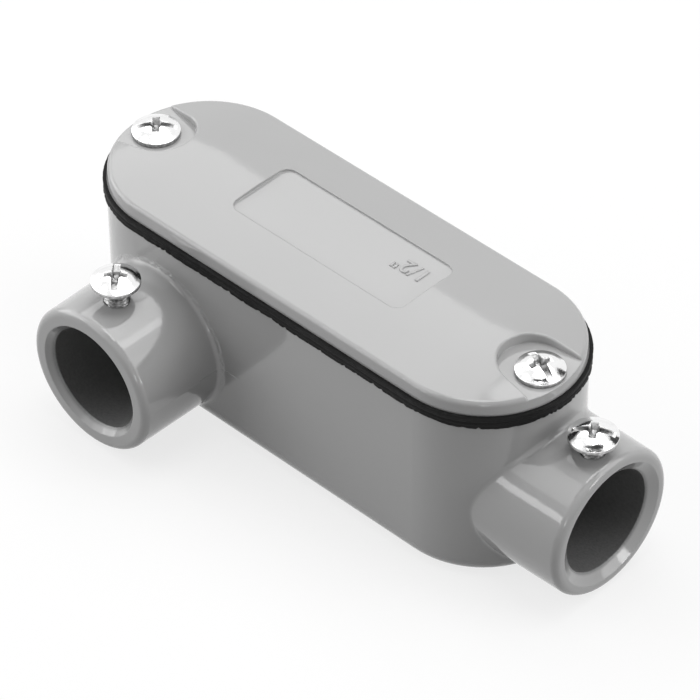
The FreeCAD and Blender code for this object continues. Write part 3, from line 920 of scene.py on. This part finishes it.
class StudioSettings(bpy.types.PropertyGroup):
    """Camera, lamps and floor."""

    lens: bpy.props.FloatProperty(
        name="Lens", description="Focal length of the camera in millimetres", default=232.38, min=1
    )
    camera_place: bpy.props.FloatVectorProperty(
        name="Camera Place",
        description="Place of the camera",
        default=(0.383294, -0.390762, 0.504057),
        precision=6,
        subtype="XYZ",
        unit="LENGTH",
    )
    camera_azimuth: angle_setting(
        "Camera Azimuth", "Direction the camera stands in, from -Y towards +X", 44.339
    )
    camera_elevation: angle_setting("Camera Elevation", "Angle of the camera above the floor", 41.818)
    camera_roll: angle_setting("Camera Roll", "Turn of the camera about its own line of sight", -0.609)
    floor_colour: grey_setting("Floor Colour", "Colour of the floor", 0.24)
    floor_lift: bpy.props.FloatProperty(
        name="Floor Lift", description="Brightness that the floor adds of its own", default=0.76, min=0
    )
    fill: bpy.props.FloatProperty(
        name="Fill", description="Strength of the light from all round", default=0.12, min=0
    )
    card_colour: grey_setting("Card Colour", "Colour of the dark cards", 0.12)


class ConduitBodySettings(bpy.types.PropertyGroup):
    """All sizes and colours of the dressed conduit body."""

    enamel: bpy.props.PointerProperty(type=EnamelSettings)
    rubber: bpy.props.PointerProperty(type=RubberSettings)
    screws: bpy.props.PointerProperty(type=ScrewSettings)
    figures: bpy.props.PointerProperty(type=FigureSettings)
    studio: bpy.props.PointerProperty(type=StudioSettings)


# Operators


class CONDUIT_OT_paint_castings(bpy.types.Operator):
    """Paint the casting and the cover with grey enamel"""

    bl_idname = "conduit.paint_castings"
    bl_label = "Paint Castings"

    def execute(self, context):
        material = make_enamel(context.scene.conduit_body.enamel)
        for name in ("conduit_body", "cover"):
            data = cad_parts[name].data
            for i in range(len(data.materials)):
                data.materials[i] = material
        return {"FINISHED"}


class CONDUIT_OT_add_gasket(bpy.types.Operator):
    """Build the rubber gasket between the box and the cover"""

    bl_idname = "conduit.add_gasket"
    bl_label = "Add Gasket"

    def execute(self, context):
        settings = context.scene.conduit_body.rubber
        data = make_gasket_mesh(settings)
        add_piece("gasket_rubber", data, "housing", make_rubber(settings), ("gasket",))
        return {"FINISHED"}


class CONDUIT_OT_add_cover_screws(bpy.types.Operator):
    """Build the two screws that hold the cover"""

    bl_idname = "conduit.add_cover_screws"
    bl_label = "Add Cover Screws"

    def execute(self, context):
        settings = context.scene.conduit_body.screws
        make_screws(settings, "cover_screw", ("left", "right"), settings.cover_screw_length)
        return {"FINISHED"}


class CONDUIT_OT_add_set_screws(bpy.types.Operator):
    """Build the set screw of each hub"""

    bl_idname = "conduit.add_set_screws"
    bl_label = "Add Set Screws"

    def execute(self, context):
        settings = context.scene.conduit_body.screws
        make_screws(settings, "set_screw", ("side", "end"), settings.set_screw_length)
        return {"FINISHED"}


class CONDUIT_OT_add_figures(bpy.types.Operator):
    """Raise the plain trade size on the floor of the cover's panel"""

    bl_idname = "conduit.add_figures"
    bl_label = "Add Figures"

    def execute(self, context):
        settings = context.scene.conduit_body.figures
        data = raised_figures("size_figures", '1/2"', settings)
        turned = Matrix.Rotation(math.pi, 4, "Z")
        place = Matrix.Translation((FIGURES_X, FIGURES_Y, settings.panel_floor))
        data.transform(place @ turned)
        data.shade_flat()
        add_piece("size_figures", data, "lid", bpy.data.materials[ENAMEL])
        return {"FINISHED"}


class CONDUIT_OT_set_stage(bpy.types.Operator):
    """Set the floor, the lamps, the backdrop and the camera"""

    bl_idname = "conduit.set_stage"
    bl_label = "Set Stage"

    def execute(self, context):
        settings = context.scene.conduit_body.studio
        context.scene.view_settings.view_transform = "Standard"
        make_floor(settings)
        make_backdrop(context.scene, settings)
        make_lamps()
        make_cards(settings)
        context.scene.camera = make_camera(settings)
        return {"FINISHED"}


# Stage

FLOOR_RADII = (0.3, 1, 4)
FLOOR_SEGMENTS = 64
# The floor lies this far under the casting, so that no face is shared
FLOOR_DROP = 0.02 * MM
# Soft boxes: direction as height above the floor and turn from +X towards +Y, and the turn of the box about
# that direction, all in degrees, then width and height in metres and brightness
LAMPS = (
    ("top_box", 88, 90, 0, 0.40, 0.40, 3.4),
    ("back_box", 64, 78, 0, 0.62, 0.29, 2.5),
    ("back_left_box", 52.1, 151.3, -52, 0.56, 0.56, 1.57),
    ("high_right_box", 53, 34, 0, 0.42, 0.50, 1.7),
    ("high_left_box", 50, 232, 0, 0.45, 0.46, 0.95),
    ("right_box", 22, 32, 0, 0.46, 0.50, 2.1),
    ("left_box", 32, 208, 0, 0.55, 0.40, 1.7),
    ("low_left_box", 12, 206, 0, 0.62, 0.34, 2.4),
    ("far_left_box", 23, 180, 0, 0.43, 0.31, 1.25),
    ("strip", 19, 240, 0, 0.47, 0.15, 3.6),
    ("small_front_box", 12, 315, 0, 0.12, 0.12, 7.0),
    ("small_end_box", 14, 12, 0, 0.16, 0.20, 6.5),
)
LAMP_DISTANCE = 0.9
# Dark cards that only mirror-like surfaces see: direction in degrees, then distance, width and height in
# metres
CARDS = (
    ("camera_card", 69, 318, 0.34, 0.38, 0.09),
    ("right_card", 35, 58, 0.21, 0.07, 0.08),
)


def seen_directly(tree):
    """1 where the camera, a mirror or a pane looks at the surface, and 0 where it only lights others."""
    path = tree.add("ShaderNodeLightPath")
    rays = [tree.signal(path, name) for name in ("Is Camera Ray", "Is Glossy Ray", "Is Transmission Ray")]
    return tree.math("MAXIMUM", tree.math("MAXIMUM", rays[0], rays[1]), rays[2])


def make_floor(settings):
    """A wide pale floor at the height of the casting's back. It keeps the object's shadow."""
    mesh = bmesh.new()
    rings = [ring_of(mesh, radius, 0, FLOOR_SEGMENTS) for radius in FLOOR_RADII]
    for lower, upper in zip(rings, rings[1:]):
        bridge(mesh, lower, upper)
    mesh.faces.new(rings[0])
    data = finished_mesh("floor", mesh)
    material, tree = new_material("pale_floor")
    glow = tree.vector("SCALE", (1.0, 1.0, 1.0), seen_directly(tree) * settings.floor_lift)
    tree.surface(
        {
            "Base Color": opaque(settings.floor_colour),
            "Roughness": 0.9,
            "Specular IOR Level": 0.0,
            "Emission Color": glow,
            "Emission Strength": 1.0,
        }
    )
    data.materials.append(material)
    floor = new_object("floor", data)
    floor.location.z = -FLOOR_DROP


def make_backdrop(scene, settings):
    """A white surround for whatever looks at it, and a soft fill for the rest."""
    world = bpy.data.worlds.new("white_surround")
    scene.world = world
    tree = Tree(world)
    seen = seen_directly(tree)
    background = tree.add(
        "ShaderNodeBackground",
        sockets={"Color": (1, 1, 1, 1), "Strength": seen + (1 - seen) * settings.fill},
    )
    output = tree.add("ShaderNodeOutputWorld")
    tree.links.new(background.outputs[0], output.inputs["Surface"])


def direction(elevation, turn):
    """A level direction turned from +X towards +Y, then raised, in degrees."""
    elevation, turn = math.radians(elevation), math.radians(turn)
    flat = math.cos(elevation)
    return Vector((math.cos(turn) * flat, math.sin(turn) * flat, math.sin(elevation)))


def turn_to_object(item, elevation, turn, distance, roll=0):
    """Moves a lamp or a card out from the object in a direction, facing the object."""
    way = direction(elevation, turn)
    item.location = distance * way
    item.rotation_mode = "QUATERNION"
    facing = (-way).to_track_quat("-Z", "Y")
    item.rotation_quaternion = facing @ Quaternion((0, 0, 1), math.radians(roll))


def make_lamps():
    """Soft boxes round the object, each facing it."""
    for name, elevation, turn, roll, width, height, brightness in LAMPS:
        lamp = bpy.data.lights.new(name, "AREA")
        lamp.shape = "RECTANGLE"
        lamp.size = width
        lamp.size_y = height
        lamp.energy = math.pi * width * height * brightness
        turn_to_object(new_object(name, lamp), elevation, turn, LAMP_DISTANCE, roll)


def make_cards(settings):
    """Dark cards whose reflections give the bright plating its contrast."""
    material, tree = new_material("dark_card")
    tree.surface({"Base Color": opaque(settings.card_colour), "Roughness": 1.0, "Specular IOR Level": 0.0})
    corners = ((-1, -1), (1, -1), (1, 1), (-1, 1))
    for name, elevation, turn, distance, width, height in CARDS:
        mesh = bmesh.new()
        mesh.faces.new([mesh.verts.new((x * width / 2, y * height / 2, 0)) for x, y in corners])
        data = finished_mesh(name, mesh)
        data.materials.append(material)
        card = new_object(name, data)
        turn_to_object(card, elevation, turn, distance)
        card.visible_camera = False
        card.visible_diffuse = False
        card.visible_shadow = False


def make_camera(settings):
    """The camera at the photograph's point of view."""
    data = bpy.data.cameras.new("camera")
    data.lens = settings.lens
    data.sensor_width = 36
    data.clip_start = 10 * MM
    data.clip_end = 20
    azimuth = settings.camera_azimuth
    elevation = settings.camera_elevation
    back = Vector(
        (
            math.sin(azimuth) * math.cos(elevation),
            -math.cos(azimuth) * math.cos(elevation),
            math.sin(elevation),
        )
    )
    right = Vector((math.cos(azimuth), math.sin(azimuth), 0))
    upright = Matrix((right, back.cross(right), back)).transposed()
    turned = upright @ Matrix.Rotation(settings.camera_roll, 3, "Z")
    camera = new_object("camera", data)
    camera.matrix_world = Matrix.Translation(settings.camera_place) @ turned.to_4x4()
    return camera


# Panel and registration


class CONDUIT_PT_body(bpy.types.Panel):
    """Lists the steps that dress the conduit body."""

    bl_idname = "CONDUIT_PT_body"
    bl_label = "Conduit Body"
    bl_space_type = "VIEW_3D"
    bl_region_type = "UI"
    bl_category = "Conduit Body"

    def draw(self, context):
        for step in STEPS:
            self.layout.operator(step.bl_idname)


STEPS = (
    CONDUIT_OT_paint_castings,
    CONDUIT_OT_add_gasket,
    CONDUIT_OT_add_cover_screws,
    CONDUIT_OT_add_set_screws,
    CONDUIT_OT_add_figures,
    CONDUIT_OT_set_stage,
)

CLASSES = (
    EnamelSettings,
    RubberSettings,
    ScrewSettings,
    FigureSettings,
    StudioSettings,
    ConduitBodySettings,
    *STEPS,
    CONDUIT_PT_body,
)


def register():
    for item in CLASSES:
        bpy.utils.register_class(item)
    bpy.types.Scene.conduit_body = bpy.props.PointerProperty(type=ConduitBodySettings)


def unregister():
    del bpy.types.Scene.conduit_body
    for item in reversed(CLASSES):
        bpy.utils.unregister_class(item)


def main():
    register()
    bpy.ops.conduit.paint_castings()
    bpy.ops.conduit.add_gasket()
    bpy.ops.conduit.add_cover_screws()
    bpy.ops.conduit.add_set_screws()
    bpy.ops.conduit.add_figures()
    bpy.ops.conduit.set_stage()


if __name__ == "__main__":
    main()
